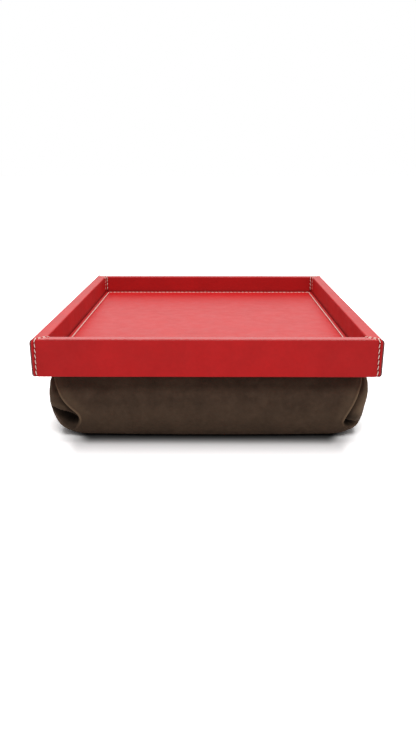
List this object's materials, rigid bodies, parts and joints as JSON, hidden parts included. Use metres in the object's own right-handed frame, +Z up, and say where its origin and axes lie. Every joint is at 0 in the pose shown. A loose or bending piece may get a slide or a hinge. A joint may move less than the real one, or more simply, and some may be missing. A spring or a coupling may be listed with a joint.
{
  "type": "lap tray with cushion",
  "caption": "Leather-covered lap tray with a raised rim and stitched corners, held by hook and loop strips on a bead-filled suede cushion with a zip at the back.",
  "frame": {"origin": "centre of the object's base, on the surface that the cushion rests on", "axes": "+Z up out of the tray, +Y along the tray's long side towards the zip, +X right"},
  "size_m": [0.351, 0.451, 0.1104],
  "materials": {
    "red_leather": "satin",
    "dyed_edge": "satin",
    "cream_thread": "matte",
    "fibreboard": "matte",
    "plywood": "matte",
    "grey_board": "matte",
    "underside_cloth": "matte",
    "hook_tape": "matte",
    "loop_tape": "matte",
    "brown_suede": "matte",
    "liner_cotton": "matte",
    "bead_fill": "matte",
    "zip_tape": "matte",
    "zip_coil": "satin",
    "zip_metal": "satin"
  },
  "bodies": {
    "cushion": {"cover_top": "brown_suede", "cover_wrap": "brown_suede", "cover_upper_back": "brown_suede", "left_gusset": "brown_suede", "right_gusset": "brown_suede", "liner_bag": "liner_cotton", "bead_fill": "bead_fill", "loop_strips": "loop_tape", "zip_tape_lower": "zip_tape", "zip_tape_upper": "zip_tape", "zip_coil": "zip_coil", "zip_stops": "zip_metal"},
    "tray": {"back_left_corner_edge": "dyed_edge", "back_left_corner_stitching": "cream_thread", "back_right_corner_edge": "dyed_edge", "back_right_corner_stitching": "cream_thread", "back_wall_board": "fibreboard", "back_wall_leather": "red_leather", "base_board": "plywood", "floor_backing": "grey_board", "floor_leather": "red_leather", "floor_stitching": "cream_thread", "front_left_corner_edge": "dyed_edge", "front_left_corner_stitching": "cream_thread", "front_right_corner_edge": "dyed_edge", "front_right_corner_stitching": "cream_thread", "front_wall_board": "fibreboard", "front_wall_leather": "red_leather", "hook_strips": "hook_tape", "left_wall_board": "fibreboard", "left_wall_leather": "red_leather", "right_wall_board": "fibreboard", "right_wall_leather": "red_leather", "underside_lining": "underside_cloth"},
    "zip_slider": {"zip_slider": "zip_metal"},
    "zip_pull": {"zip_pull": "zip_metal"}
  },
  "joints": [
    {"name": "tray_lift", "type": "slide", "parent": "cushion", "child": "tray", "axis": [0, 0, 1], "range_m": [0, 0.15]},
    {"name": "zip_slide", "type": "slide", "parent": "cushion", "child": "zip_slider", "axis": [-1, 0, 0], "range_m": [0, 0.2465]},
    {"name": "zip_pull_turn", "type": "hinge", "parent": "zip_slider", "child": "zip_pull", "pos_m": [0.12325, 0.22287, 0.04204], "axis": [0, 0, -1], "range_deg": [0, 180]}
  ]
}
